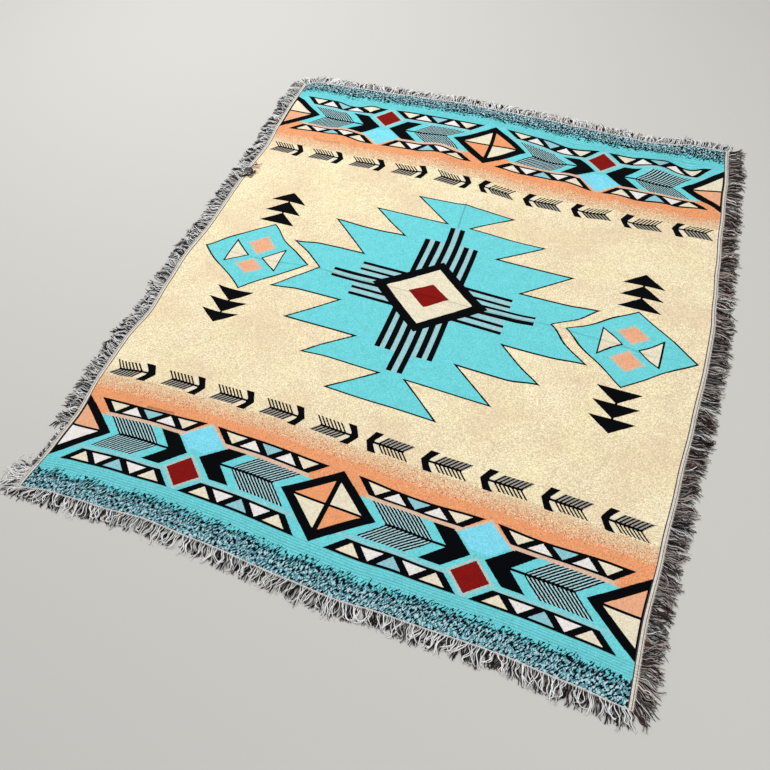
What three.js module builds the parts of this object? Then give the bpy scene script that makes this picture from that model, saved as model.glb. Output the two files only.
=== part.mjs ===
// Throw blanket: one jacquard-woven tapestry cloth laid out flat, with a yarn fringe on its four sides.
// Millimetres, +Z up. X runs along the near end, Y along the length, and the cloth rests on Z = 0.
import * as THREE from "three";

// Woven cloth, as cut
const CLOTH_WIDTH = 1300;
const CLOTH_LENGTH = 1500;
const CLOTH_THICKNESS = 2.2;
const HALF_WIDTH = CLOTH_WIDTH / 2;
const HALF_LENGTH = CLOTH_LENGTH / 2;

// Cells of the cloth's surface, even in number so that a row of corners lies on each fold crease
const CELLS_ACROSS = 38;
const CELLS_ALONG = 44;

// Fringe
const FRINGE_THICKNESS = 2;
const EDGE_GAP = 0.3;
const STRIP_WIDTH = 5;
const LOCK_PITCH = 19.4;
const LOCK_ROOT_WIDTH = 11;
const LOCK_MIDDLE_WIDTH = 9;
const LOCK_SWAY = 13;
const LOCK_JITTER = 4;
const LOCK_BEND = 9;
const LOCK_UNEVEN_LENGTH = 0.13;
const FAN_REACH = 110;

// How far the laid cloth's side edges lie from a straight edge, towards +X
const LEFT_EDGE = [
  { along: -750, shift: -8 },
  { along: -640, shift: 4 },
  { along: -560, shift: 8 },
  { along: -450, shift: -3 },
  { along: -340, shift: -4 },
  { along: -250, shift: 7 },
  { along: -150, shift: 0 },
  { along: -60, shift: -5 },
  { along: 60, shift: 3 },
  { along: 300, shift: 0 },
  { along: 410, shift: 6 },
  { along: 520, shift: -4 },
  { along: 620, shift: -9 },
  { along: 750, shift: -10 },
];
const RIGHT_EDGE = [
  { along: -750, shift: -6 },
  { along: -600, shift: -9 },
  { along: -450, shift: -2 },
  { along: -300, shift: 4 },
  { along: -150, shift: 11 },
  { along: 0, shift: 17 },
  { along: 100, shift: 17 },
  { along: 200, shift: 10 },
  { along: 300, shift: 3 },
  { along: 450, shift: -6 },
  { along: 600, shift: -14 },
  { along: 750, shift: -27 },
];

// Inside these margins the whole field has crept sideways, most of all half way along
const EDGE_MARGIN = 170;
const FIELD_CREEP = 8;
const FIELD_SIDE_CREEP = 7;
const FIELD_BOW = 17;
const FIELD_TILT = 4;
const BAND_AT = 600;

// How far each crosswise weft line lies from straight, towards +Y, from the near end to the far end
const NEAR_EDGE = [
  { along: -650, shift: -16 },
  { along: -560, shift: -3 },
  { along: -450, shift: 2 },
  { along: -330, shift: 11 },
  { along: -200, shift: 7 },
  { along: 0, shift: -3 },
  { along: 100, shift: -7 },
  { along: 200, shift: -1 },
  { along: 420, shift: 4 },
  { along: 540, shift: -1 },
  { along: 650, shift: -8 },
];
const NEAR_BAND = [
  { along: -650, shift: -6 },
  { along: -430, shift: 9 },
  { along: -200, shift: 13 },
  { along: 0, shift: 5 },
  { along: 170, shift: 1 },
  { along: 450, shift: -2 },
  { along: 650, shift: -10 },
];
const MIDDLE = [
  { along: -650, shift: 8 },
  { along: -300, shift: 13 },
  { along: 0, shift: 9 },
  { along: 300, shift: 1 },
  { along: 650, shift: 2 },
];
const FAR_BAND = [
  { along: -650, shift: 0 },
  { along: -450, shift: -4 },
  { along: -200, shift: 8 },
  { along: 0, shift: 8 },
  { along: 180, shift: -15 },
  { along: 360, shift: -18 },
  { along: 480, shift: -10 },
  { along: 560, shift: -18 },
  { along: 650, shift: -4 },
];
const FAR_EDGE = [
  { along: -650, shift: -28 },
  { along: -600, shift: -4 },
  { along: -500, shift: -3 },
  { along: -370, shift: 1 },
  { along: -240, shift: 8 },
  { along: -120, shift: 13 },
  { along: 0, shift: 9 },
  { along: 120, shift: 5 },
  { along: 240, shift: -3 },
  { along: 340, shift: -10 },
  { along: 440, shift: -17 },
  { along: 490, shift: -10 },
  { along: 550, shift: 3 },
  { along: 650, shift: 1 },
];
const WEFT_LINES = [
  { at: -HALF_LENGTH, line: NEAR_EDGE },
  { at: -BAND_AT, line: NEAR_BAND },
  { at: 0, line: MIDDLE },
  { at: BAND_AT, line: FAR_BAND },
  { at: HALF_LENGTH, line: FAR_EDGE },
];

// Soft ridges where the cloth stands up off the floor. turn is the ridge's direction in degrees from +X.
const RIDGES = [
  { x: -425, y: 585, turn: 88, halfLength: 170, halfWidth: 62, height: 9 },
  { x: -128, y: 500, turn: 92, halfLength: 170, halfWidth: 72, height: 11 },
  { x: 250, y: 530, turn: 86, halfLength: 150, halfWidth: 60, height: 9 },
  { x: 458, y: 650, turn: 95, halfLength: 120, halfWidth: 60, height: 12 },
  { x: 370, y: 440, turn: 80, halfLength: 130, halfWidth: 50, height: 7 },
  { x: 30, y: 360, turn: 24, halfLength: 200, halfWidth: 58, height: 4 },
  { x: -590, y: 250, turn: 72, halfLength: 100, halfWidth: 46, height: 8 },
  { x: -470, y: -60, turn: 150, halfLength: 160, halfWidth: 52, height: 4 },
  { x: -420, y: -230, turn: 35, halfLength: 200, halfWidth: 54, height: 5 },
  { x: -560, y: -420, turn: 118, halfLength: 120, halfWidth: 48, height: 7 },
  { x: -330, y: -560, turn: 80, halfLength: 150, halfWidth: 70, height: 8 },
  { x: 160, y: -600, turn: 100, halfLength: 140, halfWidth: 60, height: 7 },
  { x: 430, y: -330, turn: 60, halfLength: 220, halfWidth: 60, height: 5 },
  { x: 570, y: -80, turn: 95, halfLength: 260, halfWidth: 48, height: 6 },
];

// Creases left by folding the throw away: one across the middle, one down the far half
const CREASES = [
  { x: 0, y: 0, turn: 0, halfLength: 645, halfWidth: 30, height: 3.5 },
  { x: 0, y: 330, turn: 90, halfLength: 330, halfWidth: 26, height: 3 },
];
const RIDGE_RIM = 70;

// The four fringes. The fans turn the last locks of a side towards its start and its end, in degrees.
const FRINGES = [
  { name: "fringe_front", side: "front", length: 40, startFan: 48, endFan: 30, seed: 1 },
  { name: "fringe_right", side: "right", length: 44, startFan: 44, endFan: 16, seed: 2 },
  { name: "fringe_back", side: "back", length: 37, startFan: 20, endFan: 34, seed: 3 },
  { name: "fringe_left", side: "left", length: 43, startFan: 26, endFan: 22, seed: 4 },
];

// Where a fringe is caught under the cloth near a corner, so that only the ends of its locks' roots show
const TUCKED = { name: "fringe_left", from: 0.895, to: 0.963, lengthShare: 0.3 };

// A smooth step from 0 to 1.
function ease(share) {
  const s = Math.min(Math.max(share, 0), 1);
  return s * s * (3 - 2 * s);
}

// The shift that a table gives at a place along it, eased from one row to the next.
function shiftAt(table, along) {
  const last = table.length - 2;
  const next = table.findIndex((row) => row.along > along);
  const i = next < 0 ? last : Math.min(Math.max(next - 1, 0), last);
  const a = table[i];
  const b = table[i + 1];
  return a.shift + (b.shift - a.shift) * ease((along - a.along) / (b.along - a.along));
}

// A rounded hump: 1 at its middle, falling to exactly 0 at reach 1, so that the cloth beyond lies flat.
function hump(reach) {
  const r = Math.min(Math.abs(reach), 1);
  return (1 - r * r) ** 2;
}

// How far a point of the cloth has crept towards +X.
function sidewaysShift(u, v) {
  const k = v / BAND_AT;
  const sideways = FIELD_SIDE_CREEP * ease(Math.abs(u) / (HALF_WIDTH - EDGE_MARGIN)) * (1 - k * k);
  const field = FIELD_CREEP + sideways - FIELD_BOW * k * k - FIELD_TILT * k;
  const edge = shiftAt(u < 0 ? LEFT_EDGE : RIGHT_EDGE, v);
  const inside = ease((HALF_WIDTH - Math.abs(u)) / EDGE_MARGIN);
  return edge * (1 - inside) + field * inside;
}

// How far a point of the cloth has crept towards +Y, eased between the weft lines on either side of it.
function lengthwiseShift(u, v) {
  const next = WEFT_LINES.findIndex((row) => row.at > v);
  const i = next < 0 ? WEFT_LINES.length - 2 : Math.max(next - 1, 0);
  const a = WEFT_LINES[i];
  const b = WEFT_LINES[i + 1];
  const share = ease((v - a.at) / (b.at - a.at));
  return shiftAt(a.line, u) * (1 - share) + shiftAt(b.line, u) * share;
}

// Height of one ridge or crease over a point of the cloth.
function ridgeHeight(ridge, u, v) {
  const turn = THREE.MathUtils.degToRad(ridge.turn);
  const along = (u - ridge.x) * Math.cos(turn) + (v - ridge.y) * Math.sin(turn);
  const across = (v - ridge.y) * Math.cos(turn) - (u - ridge.x) * Math.sin(turn);
  return ridge.height * hump(along / ridge.halfLength) * hump(across / ridge.halfWidth);
}

// Height of the cloth's underside. It is 0 between the ridges and all round the rim.
function lift(u, v) {
  const toEdge = Math.min(HALF_WIDTH - Math.abs(u), HALF_LENGTH - Math.abs(v));
  const total = [...RIDGES, ...CREASES].reduce((sum, ridge) => sum + ridgeHeight(ridge, u, v), 0);
  return total * ease(toEdge / RIDGE_RIM);
}

// Where a point of the flat cloth, u across and v along, lies on the floor.
function laid(u, v) {
  return new THREE.Vector2(u + sidewaysShift(u, v), v + lengthwiseShift(u, v));
}

function stationAcross(i) {
  return -HALF_WIDTH + (CLOTH_WIDTH * i) / CELLS_ACROSS;
}

function stationAlong(j) {
  return -HALF_LENGTH + (CLOTH_LENGTH * j) / CELLS_ALONG;
}

// The cloth as one closed sheet: an underside and a top on the same grid, joined round the rim.
function clothGeometry() {
  const across = CELLS_ACROSS + 1;
  const layer = across * (CELLS_ALONG + 1);
  const positions = [];
  for (const rise of [0, CLOTH_THICKNESS]) {
    for (let j = 0; j <= CELLS_ALONG; j += 1) {
      for (let i = 0; i <= CELLS_ACROSS; i += 1) {
        const u = stationAcross(i);
        const v = stationAlong(j);
        const place = laid(u, v);
        positions.push(place.x, place.y, lift(u, v) + rise);
      }
    }
  }
  const faces = [];
  for (let j = 0; j < CELLS_ALONG; j += 1) {
    for (let i = 0; i < CELLS_ACROSS; i += 1) {
      const a = j * across + i;
      const b = a + 1;
      const c = a + across + 1;
      const d = a + across;
      faces.push(a, c, b, a, d, c);
      faces.push(layer + a, layer + b, layer + c, layer + a, layer + c, layer + d);
    }
  }
  const rim = [];
  for (let i = 0; i < CELLS_ACROSS; i += 1) rim.push(i);
  for (let j = 0; j < CELLS_ALONG; j += 1) rim.push(CELLS_ACROSS + j * across);
  for (let i = CELLS_ACROSS; i > 0; i -= 1) rim.push(CELLS_ALONG * across + i);
  for (let j = CELLS_ALONG; j > 0; j -= 1) rim.push(j * across);
  rim.forEach((a, k) => {
    const b = rim[(k + 1) % rim.length];
    faces.push(a, b, layer + b, a, layer + b, layer + a);
  });
  const geometry = new THREE.BufferGeometry();
  geometry.setAttribute("position", new THREE.Float32BufferAttribute(positions, 3));
  geometry.setIndex(faces);
  return geometry;
}

// Corner points of one side's edge, going round the cloth anticlockwise, and the way out from it.
function sideOf(side) {
  const across = [...Array(CELLS_ACROSS + 1).keys()].map(stationAcross);
  const along = [...Array(CELLS_ALONG + 1).keys()].map(stationAlong);
  const sides = {
    front: { out: new THREE.Vector2(0, -1), edge: across.map((u) => laid(u, -HALF_LENGTH)) },
    right: { out: new THREE.Vector2(1, 0), edge: along.map((v) => laid(HALF_WIDTH, v)) },
    back: { out: new THREE.Vector2(0, 1), edge: across.map((u) => laid(-u, HALF_LENGTH)) },
    left: { out: new THREE.Vector2(-1, 0), edge: along.map((v) => laid(-HALF_WIDTH, -v)) },
  };
  return sides[side];
}

// A repeatable uneven value between -1 and 1 for a lock.
function uneven(step, seed) {
  return 0.6 * Math.sin(2.4 * step + 1.7 * seed) + 0.4 * Math.sin(5.1 * step + 3.1 * seed);
}

// The point a share of the way along a line of edge points.
function pointAlong(edge, share) {
  const place = share * (edge.length - 1);
  const i = Math.min(Math.floor(place), edge.length - 2);
  return edge[i].clone().lerp(edge[i + 1], place - i);
}

// One lock's outline, from its root on the strip out to its tip and back: it bends half way and ends in a point.
function lockOutline(root, out, onward, step, fringe, fan, share) {
  const sway = LOCK_SWAY * Math.sin(0.42 * step + fringe.seed) + LOCK_JITTER * uneven(step, fringe.seed);
  const turn = THREE.MathUtils.degToRad(sway * (1 - Math.abs(fan)) + fan * (fan < 0 ? fringe.startFan : fringe.endFan));
  const bend = THREE.MathUtils.degToRad(LOCK_BEND * Math.sin(0.9 * step + 2 * fringe.seed));
  const tucked = fringe.name === TUCKED.name && share > TUCKED.from && share < TUCKED.to;
  const full = fringe.length * (tucked ? TUCKED.lengthShare : 1);
  const length = full * (1 + LOCK_UNEVEN_LENGTH * uneven(step + 7, fringe.seed));
  const heading = (angle) =>
    out.clone().multiplyScalar(Math.cos(angle)).addScaledVector(onward, Math.sin(angle));
  const rootHeading = heading(turn + bend);
  const middle = root.clone().addScaledVector(rootHeading, length / 2);
  const tip = middle.clone().addScaledVector(heading(turn - bend), length / 2);
  const side = new THREE.Vector2(-rootHeading.y, rootHeading.x).multiplyScalar(LOCK_MIDDLE_WIDTH / 2);
  if (side.dot(onward) < 0) side.negate();
  return [
    root.clone().addScaledVector(onward, -LOCK_ROOT_WIDTH / 2),
    middle.clone().sub(side),
    tip,
    middle.clone().add(side),
    root.clone().addScaledVector(onward, LOCK_ROOT_WIDTH / 2),
  ];
}

// One side's fringe: a narrow strip along the cloth's edge, with its locks standing out from it, all level.
function fringeGeometry(fringe) {
  const { out, edge } = sideOf(fringe.side);
  const onward = new THREE.Vector2(-out.y, out.x);
  const shifted = (distance) => edge.map((point) => point.clone().addScaledVector(out, distance));
  const inner = shifted(EDGE_GAP);
  const outer = shifted(EDGE_GAP + STRIP_WIDTH);
  const length = edge[0].distanceTo(edge[edge.length - 1]);
  const locks = Math.floor(length / LOCK_PITCH);
  const outline = [outer[0]];
  for (let step = 0; step < locks; step += 1) {
    const share = (step + 0.5) / locks;
    const fromStart = 1 - ease((share * length) / FAN_REACH);
    const fromEnd = 1 - ease(((1 - share) * length) / FAN_REACH);
    const root = pointAlong(outer, share);
    outline.push(...lockOutline(root, out, onward, step, fringe, fromEnd - fromStart, share));
  }
  outline.push(outer[outer.length - 1], ...inner.reverse());
  return new THREE.ExtrudeGeometry(new THREE.Shape(outline), {
    depth: FRINGE_THICKNESS,
    bevelEnabled: false,
  });
}

function yarnMaterial(color) {
  return new THREE.MeshStandardMaterial({ color, roughness: 0.95, metalness: 0 });
}

const throwBlanket = new THREE.Group();

const cloth = new THREE.Mesh(clothGeometry(), yarnMaterial(0xe9dcb6));
cloth.name = "cloth";
throwBlanket.add(cloth);

const FRINGE_COLOURS = { front: 0xb9bcbb, right: 0x6a5f59, back: 0xb9bcbb, left: 0x8f8d8b };
for (const fringe of FRINGES) {
  const mesh = new THREE.Mesh(fringeGeometry(fringe), yarnMaterial(FRINGE_COLOURS[fringe.side]));
  mesh.name = fringe.name;
  throwBlanket.add(mesh);
}

// The origin is the middle of the whole throw's footprint, on the floor.
const footprint = new THREE.Box3().setFromObject(throwBlanket).getCenter(new THREE.Vector3());
throwBlanket.position.set(-footprint.x, -footprint.y, 0);

export default throwBlanket;
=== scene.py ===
"""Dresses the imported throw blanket: its patterned cloth, its fringe of loose yarns, a pale floor and soft light.

Lengths are in millimetres on the cloth, where u runs across it and v along it from its middle, and in metres
in the row frame. The cloth and the fringes stand on the same laid shape as the solids that they replace.
"""

import logging
import math
from dataclasses import dataclass, field
from enum import Enum
from typing import Callable, NamedTuple, Sequence

import bpy
import numpy as np
from mathutils import Matrix, Vector

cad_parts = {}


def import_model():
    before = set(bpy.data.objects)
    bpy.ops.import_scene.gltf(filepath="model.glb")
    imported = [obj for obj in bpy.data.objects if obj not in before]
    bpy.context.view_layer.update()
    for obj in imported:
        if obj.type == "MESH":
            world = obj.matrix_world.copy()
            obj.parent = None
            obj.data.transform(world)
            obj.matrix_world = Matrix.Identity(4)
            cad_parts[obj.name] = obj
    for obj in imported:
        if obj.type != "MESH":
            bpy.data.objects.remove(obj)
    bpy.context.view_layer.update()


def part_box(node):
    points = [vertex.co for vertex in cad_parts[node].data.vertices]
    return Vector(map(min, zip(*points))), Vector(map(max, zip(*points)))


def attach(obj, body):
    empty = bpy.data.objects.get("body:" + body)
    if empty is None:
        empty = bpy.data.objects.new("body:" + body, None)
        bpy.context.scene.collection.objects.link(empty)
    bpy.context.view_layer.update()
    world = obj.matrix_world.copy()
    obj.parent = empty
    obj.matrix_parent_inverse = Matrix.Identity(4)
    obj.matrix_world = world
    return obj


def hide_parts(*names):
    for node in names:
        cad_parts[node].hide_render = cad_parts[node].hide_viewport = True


LOG = logging.getLogger("throw_blanket")
MM = 0.001
Array = np.ndarray
Socket = bpy.types.NodeSocket
Pair = tuple[float, float]
Triple = tuple[float, float, float]
Point = Pair


# The laid shape


class Shift(NamedTuple):
    """How far an edge or a weft line lies from straight, at one place along it."""

    along: float
    shift: float


class Ridge(NamedTuple):
    """A soft ridge or crease. turn is its direction in degrees from +X."""

    x: float
    y: float
    turn: float
    half_length: float
    half_width: float
    height: float


class WeftLine(NamedTuple):
    """A crosswise line of the cloth, and how it wanders along the throw."""

    at: float
    line: tuple[Shift, ...]


def rows_of(kind: type, *rows: tuple[float, ...]) -> tuple:
    """Plain rows of numbers, each as a row of that kind."""
    return tuple(kind(*row) for row in rows)


def shifts(*rows: Point) -> tuple[Shift, ...]:
    """Rows of (along, shift) as a table with named columns."""
    return rows_of(Shift, *rows)


def ease(share: Array) -> Array:
    """A smooth step from 0 to 1."""
    s = np.clip(share, 0.0, 1.0)
    return s * s * (3.0 - 2.0 * s)


def between(places: Sequence[float], at: Array) -> tuple[Array, Array]:
    """Which place each value comes after, and its eased share of the way to the next one."""
    known = np.array(places)
    i = np.clip(np.searchsorted(known, at, side="right") - 1, 0, len(known) - 2)
    return i, ease((at - known[i]) / (known[i + 1] - known[i]))


def shift_at(table: Sequence[Shift], along: Array) -> Array:
    """The shift that a table gives at a place along it, eased from one row to the next."""
    i, share = between([row.along for row in table], along)
    values = np.array([row.shift for row in table])
    return values[i] + (values[i + 1] - values[i]) * share


def stand(name: str, data: bpy.types.ID) -> bpy.types.Object:
    """A new object of the scene, which holds that data."""
    made = bpy.data.objects.new(name, data)
    bpy.context.scene.collection.objects.link(made)
    return made


def hump(reach: Array) -> Array:
    """A rounded hump: 1 at its middle, falling to exactly 0 at reach 1."""
    r = np.minimum(np.abs(reach), 1.0)
    return (1.0 - r * r) ** 2


@dataclass(frozen=True)
class LaidCloth:
    """Where each point of the flat cloth lies on the floor: the same tables and formulas as the solids."""

    width: float = 1300
    length: float = 1500
    thickness: float = 2.2
    cells_across: int = 38
    cells_along: int = 44
    left_edge: tuple[Shift, ...] = shifts(
        (-750, -8), (-640, 4), (-560, 8), (-450, -3), (-340, -4), (-250, 7), (-150, 0), (-60, -5),
        (60, 3), (300, 0), (410, 6), (520, -4), (620, -9), (750, -10),
    )
    right_edge: tuple[Shift, ...] = shifts(
        (-750, -6), (-600, -9), (-450, -2), (-300, 4), (-150, 11), (0, 17), (100, 17), (200, 10),
        (300, 3), (450, -6), (600, -14), (750, -27),
    )
    edge_margin: float = 170
    field_creep: float = 8
    field_side_creep: float = 7
    field_bow: float = 17
    field_tilt: float = 4
    band_at: float = 600
    weft_lines: tuple[WeftLine, ...] = (
        WeftLine(-750.0, shifts(
            (-650, -16), (-560, -3), (-450, 2), (-330, 11), (-200, 7), (0, -3), (100, -7), (200, -1),
            (420, 4), (540, -1), (650, -8),
        )),
        WeftLine(-600.0, shifts((-650, -6), (-430, 9), (-200, 13), (0, 5), (170, 1), (450, -2), (650, -10))),
        WeftLine(0.0, shifts((-650, 8), (-300, 13), (0, 9), (300, 1), (650, 2))),
        WeftLine(600.0, shifts(
            (-650, 0), (-450, -4), (-200, 8), (0, 8), (180, -15), (360, -18), (480, -10), (560, -18),
            (650, -4),
        )),
        WeftLine(750.0, shifts(
            (-650, -28), (-600, -4), (-500, -3), (-370, 1), (-240, 8), (-120, 13), (0, 9), (120, 5),
            (240, -3), (340, -10), (440, -17), (490, -10), (550, 3), (650, 1),
        )),
    )
    ridges: tuple[Ridge, ...] = rows_of(
        Ridge,
        (-425, 585, 88, 170, 62, 9), (-128, 500, 92, 170, 72, 11), (250, 530, 86, 150, 60, 9),
        (458, 650, 95, 120, 60, 12), (370, 440, 80, 130, 50, 7), (30, 360, 24, 200, 58, 4),
        (-590, 250, 72, 100, 46, 8), (-470, -60, 150, 160, 52, 4), (-420, -230, 35, 200, 54, 5),
        (-560, -420, 118, 120, 48, 7), (-330, -560, 80, 150, 70, 8), (160, -600, 100, 140, 60, 7),
        (430, -330, 60, 220, 60, 5), (570, -80, 95, 260, 48, 6), (0, 0, 0, 645, 30, 3.5),
        (0, 330, 90, 330, 26, 3),
    )
    ridge_rim: float = 70
    ripple_height: float = 0.7
    ripple_across: Triple = (41, 1.3, 97)
    ripple_along: Triple = (36, 1.1, 83)

    def grid(self, across: int, along: int) -> Sequence[Array]:
        """The flat cloth's u and v, in mm, at the corners of so many cells each way."""
        half_u, half_v = self.width / 2, self.length / 2
        return np.meshgrid(np.linspace(-half_u, half_u, across + 1), np.linspace(-half_v, half_v, along + 1))

    def to_edge(self, u: Array, v: Array) -> Array:
        """How far each point lies inside the nearest edge, in mm."""
        return np.minimum(self.width / 2 - np.abs(u), self.length / 2 - np.abs(v))

    def sideways(self, u: Array, v: Array) -> Array:
        """How far each point has crept towards +X: the edge's own shift, eased into the field's."""
        k = v / self.band_at
        side = self.field_side_creep * ease(np.abs(u) / (self.width / 2 - self.edge_margin)) * (1 - k * k)
        inner = self.field_creep + side - self.field_bow * k * k - self.field_tilt * k
        edge = np.where(u < 0, shift_at(self.left_edge, v), shift_at(self.right_edge, v))
        inside = ease((self.width / 2 - np.abs(u)) / self.edge_margin)
        return edge * (1 - inside) + inner * inside

    def lengthwise(self, u: Array, v: Array) -> Array:
        """How far each point has crept towards +Y, eased between the weft lines on either side of it."""
        rows = np.stack([shift_at(line.line, u) for line in self.weft_lines])
        i, share = between([line.at for line in self.weft_lines], v)
        low = np.take_along_axis(rows, i[None], axis=0)[0]
        high = np.take_along_axis(rows, i[None] + 1, axis=0)[0]
        return low * (1 - share) + high * share

    def lift(self, u: Array, v: Array) -> Array:
        """Height of the underside: the sum of the humps of all ridges, 0 between them and all round the rim."""
        total = np.zeros_like(u)
        for r in self.ridges:
            turn = math.radians(r.turn)
            along = (u - r.x) * math.cos(turn) + (v - r.y) * math.sin(turn)
            across = (v - r.y) * math.cos(turn) - (u - r.x) * math.sin(turn)
            total += r.height * hump(along / r.half_length) * hump(across / r.half_width)
        pitch_u, swing_u, bend_u = self.ripple_across
        pitch_v, swing_v, bend_v = self.ripple_along
        waves = np.sin(u / pitch_u + swing_u * np.sin(v / bend_u))
        waves += np.sin(v / pitch_v + swing_v * np.sin(u / bend_v) + 1.0)
        return (total + self.ripple_height * (2 + waves) / 2) * ease(self.to_edge(u, v) / self.ridge_rim)

    def centre(self) -> Array:
        """The middle of the flat drawing, in mm, so that the laid cloth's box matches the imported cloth's."""
        u, v = self.grid(self.cells_across, self.cells_along)
        own = np.stack([u + self.sideways(u, v), v + self.lengthwise(u, v)], axis=-1).reshape(-1, 2)
        low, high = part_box("cloth")
        packed = np.array([low[:2], high[:2]]).mean(axis=0) / MM
        return (own.min(axis=0) + own.max(axis=0)) / 2 - packed

    def place(self, u: Array, v: Array, above: float = 0.0) -> Array:
        """Points of the laid cloth.

        Args:
            u: places across the flat cloth, in mm.
            v: places along the flat cloth, in mm.
            above: height over the underside, in mm.

        Returns:
            One row of x, y and z for each point, in metres.
        """
        middle = self.centre()
        x = u + self.sideways(u, v) - middle[0]
        y = v + self.lengthwise(u, v) - middle[1]
        return np.stack([x, y, self.lift(u, v) + above], axis=-1) * MM


# Finishes


class Yarn(Enum):
    """Colours of the yarns that the cloth is woven from, in sRGB."""

    CREAM = "#EBD8B2"
    CREAM_PALE = "#F4E6C3"
    CREAM_PINK = "#E8D1AE"
    CREAM_YELLOW = "#F0E2B4"
    WHITE = "#ECE6E1"
    TOOTH_CREAM = "#E9DEC3"
    ORANGE = "#EB9C6C"
    PEACH = "#F2BC8C"
    APRICOT = "#EAAB85"
    SAND = "#DDB9A0"
    BROWN = "#AE7047"
    STRAW = "#E2BC93"
    RED = "#831410"
    TURQUOISE = "#6FD2D7"
    TURQUOISE_DULL = "#84BFC9"
    TURQUOISE_DEEP = "#5495A0"
    PALE = "#98CACE"
    PALE_FEATHER = "#B4DADD"
    PALE_GREY = "#A9C9C4"
    PALE_LINE = "#90CACD"
    LIGHT_BLUE = "#80D9EC"
    TOOTH_BLUE = "#90C5CD"
    MIST = "#BBD6DC"
    NAVY = "#06141B"
    DRAB = "#A39C90"
    INK = "#030407"
    SELVEDGE = "#DDD5C9"
    SELVEDGE_DARK = "#4C443F"


class FringeYarn(Enum):
    """Colours of the loose yarns, in sRGB."""

    WHITE = "#FFFEFB"
    PALE_GREY = "#CFD1D0"
    GREY = "#85827F"
    PINK_GREY = "#BFAEA6"
    BROWN = "#4A3A34"
    MAROON = "#4E2622"
    BLACK = "#08080B"


@dataclass(frozen=True)
class Finish:
    """How a surface takes the light."""

    roughness: float = 0.9
    sheen: float = 0
    specular: float = 0.3


@dataclass(frozen=True)
class ClothFinish(Finish):
    """The cloth's own surface: a matt twill whose floats stand a little proud. Cells and relief are in mm."""

    roughness: float = 0.95
    sheen: float = 0.01
    specular: float = 0.06
    cell_across: float = 2.2
    cell_along: float = 1.7
    relief: float = 0.4
    bump: float = 0.7
    tone_spread: float = 0.3
    patch_spread: float = 0.17


@dataclass(frozen=True)
class YarnFinish(Finish):
    """A loose yarn: matt, with a faint bright edge of fine hairs."""

    sheen: float = 0.05
    specular: float = 0.2


@dataclass(frozen=True)
class FloorFinish(Finish):
    """A plain pale floor that takes a soft shadow."""

    colour: str = "#C9C6C0"


def srgb(code: str) -> tuple[float, float, float, float]:
    """A hex colour in sRGB as Blender's linear colour."""
    values = np.array([int(code[i : i + 2], 16) for i in (1, 3, 5)]) / 255.0
    linear = np.where(values <= 0.04045, values / 12.92, ((values + 0.055) / 1.055) ** 2.4)
    return (*(float(x) for x in linear), 1.0)


# Shader arithmetic


class Graph:
    """One material's node tree, filled a node at a time."""

    def __init__(self, name: str) -> None:
        """Makes an empty material of that name."""
        self.material = bpy.data.materials.new(name)
        self.material.use_nodes = True
        self.tree = self.material.node_tree
        self.tree.nodes.clear()

    def add(
        self,
        kind: str,
        inputs: dict[int | str, object] | None = None,
        out: int | str = 0,
        **settings: object,
    ) -> Socket:
        """Adds one node.

        Args:
            kind: Blender's name of the node type.
            inputs: what goes into its inputs, each a value, a socket or a Term.
            out: which output is wanted.
            settings: the node's own properties.

        Returns:
            The wanted output.
        """
        node = self.tree.nodes.new(kind)
        for name, value in settings.items():
            setattr(node, name, value)
        for name, value in (inputs or {}).items():
            source = value.socket if isinstance(value, Term) else value
            if isinstance(source, Socket):
                self.tree.links.new(source, node.inputs[name])
            else:
                node.inputs[name].default_value = source
        return node.outputs[out] if len(node.outputs) else node

    def plain_colour(self, code: str) -> Socket:
        """One sRGB colour all over."""
        colour = self.add("ShaderNodeRGB")
        colour.default_value = srgb(code)
        return colour

    def chart_place(self) -> tuple["Term", ...]:
        """The u and v of the pattern at each point, in mm, from the mesh's Chart attribute."""
        where = self.add("ShaderNodeAttribute", out="Vector", attribute_name="Chart")
        return tuple(Term(self, self.add("ShaderNodeSeparateXYZ", {0: where}, out=axis)) / MM for axis in "XY")

    def finish(self, colour: Socket, surface: Finish, normal: object = None) -> bpy.types.Material:
        """Ends the tree in one shader of that colour and normal, with the surface's own values on it."""
        inputs: dict[int | str, object] = {
            "Base Color": colour,
            "Roughness": surface.roughness,
            "Sheen Weight": surface.sheen,
            "Specular IOR Level": surface.specular,
        }
        if normal is not None:
            inputs["Normal"] = normal
        shader = self.add("ShaderNodeBsdfPrincipled", inputs)
        self.add("ShaderNodeOutputMaterial", {"Surface": shader})
        return self.material


def operator(operation: str) -> "Callable[..., Term]":
    """A method of Term that applies one of Blender's math operations to it and to what stands on its right."""

    def apply(term: "Term", *others: object) -> "Term":
        """Applies the operation."""
        return term.calc(operation, *others)

    return apply


@dataclass(frozen=True)
class Term:
    """A number worked out at each point of a surface, with ordinary arithmetic. A comparison gives 1 or 0, and
    & and | give the lesser and the greater of two numbers, which join masks as well as depths."""

    graph: Graph
    socket: Socket

    def calc(self, operation: str, *others: object) -> "Term":
        """This number combined with others by one of Blender's math operations."""
        inputs = {i: value for i, value in enumerate((self, *others))}
        return Term(self.graph, self.graph.add("ShaderNodeMath", inputs, operation=operation))

    __add__ = operator("ADD")
    __sub__ = operator("SUBTRACT")
    __mul__ = operator("MULTIPLY")
    __truediv__ = operator("DIVIDE")
    __mod__ = operator("FLOORED_MODULO")
    __abs__ = operator("ABSOLUTE")
    __lt__ = operator("LESS_THAN")
    __gt__ = operator("GREATER_THAN")
    __and__ = operator("MINIMUM")
    __or__ = operator("MAXIMUM")
    floor = operator("FLOOR")

    def __rsub__(self, other: object) -> "Term":
        """Difference from a constant."""
        return self.calc("MULTIPLY", -1.0).calc("ADD", other)

    def between(self, low: object, high: object) -> "Term":
        """1 where this lies between the two, otherwise 0."""
        return (self > low) & (self < high)


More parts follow.
